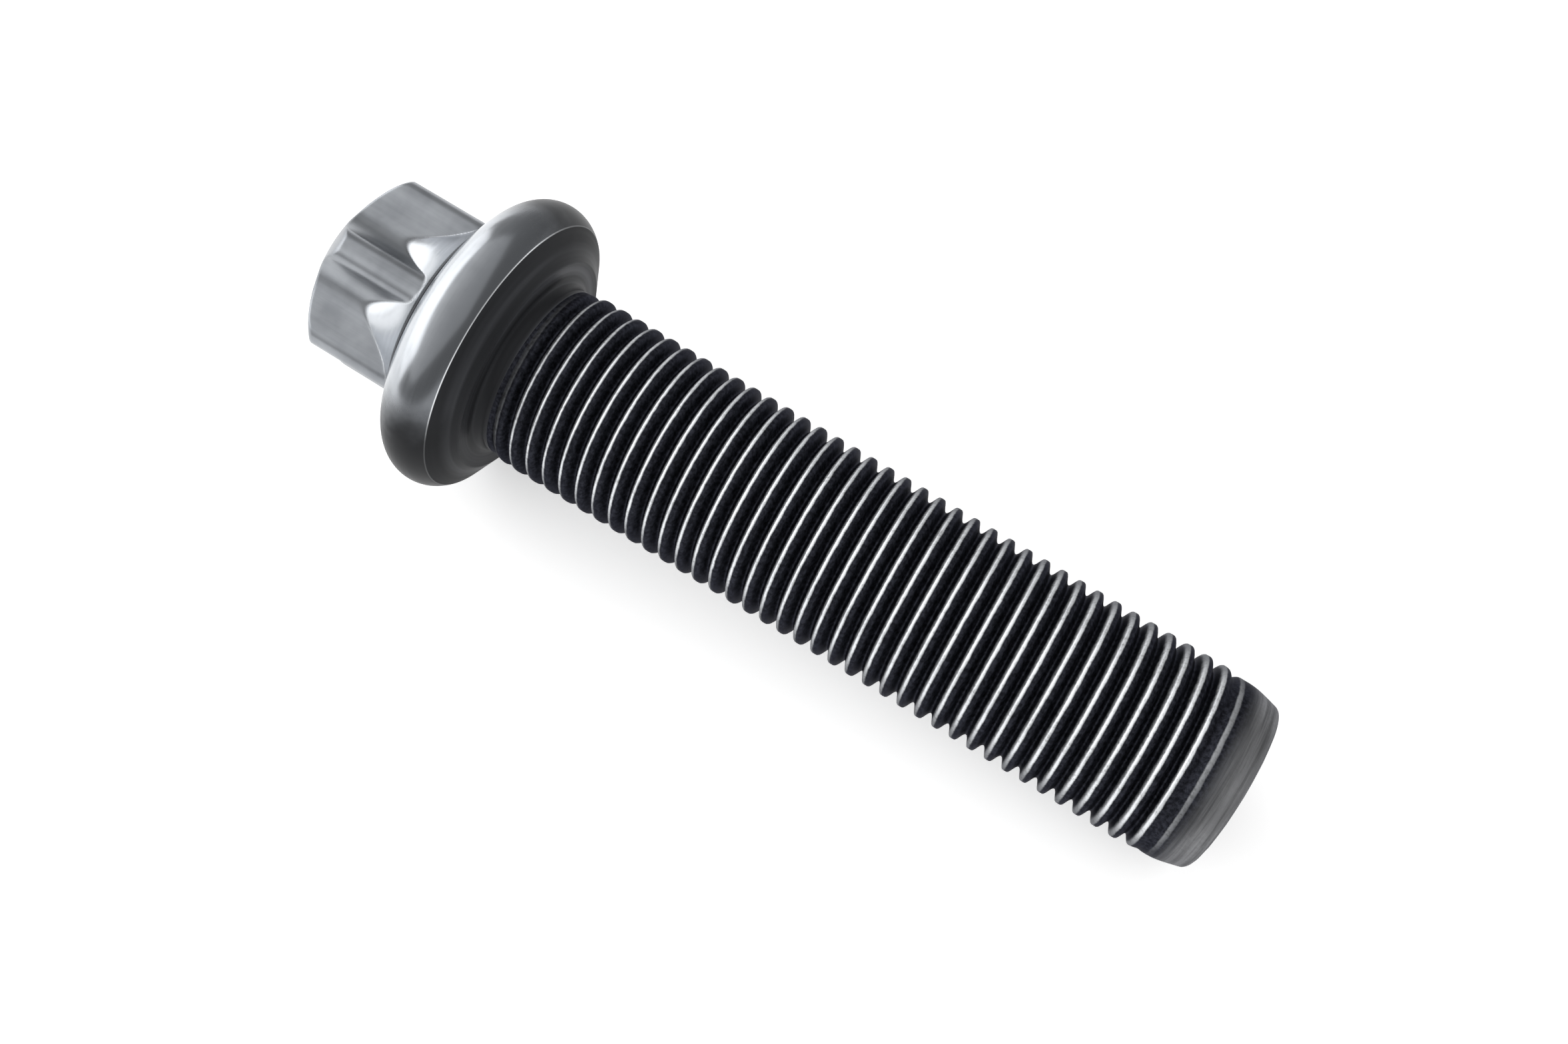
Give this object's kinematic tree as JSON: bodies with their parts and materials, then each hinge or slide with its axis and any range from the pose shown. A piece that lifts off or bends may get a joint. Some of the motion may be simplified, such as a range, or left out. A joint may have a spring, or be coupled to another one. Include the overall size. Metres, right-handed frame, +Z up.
{
  "type": "flange bolt",
  "caption": "Steel flange bolt with an external six-lobe head, a rounded flange and a fully threaded shank with a chamfered point.",
  "frame": {"origin": "centre of the part's box, at floor height", "axes": "+X from the head towards the point, which lies slightly lower, +Z up, as the bolt lies at rest"},
  "size_m": [0.0526, 0.0166, 0.0165],
  "materials": {
    "steel": "satin"
  },
  "bodies": {
    "root": {"bolt": "steel"}
  },
  "joints": []
}
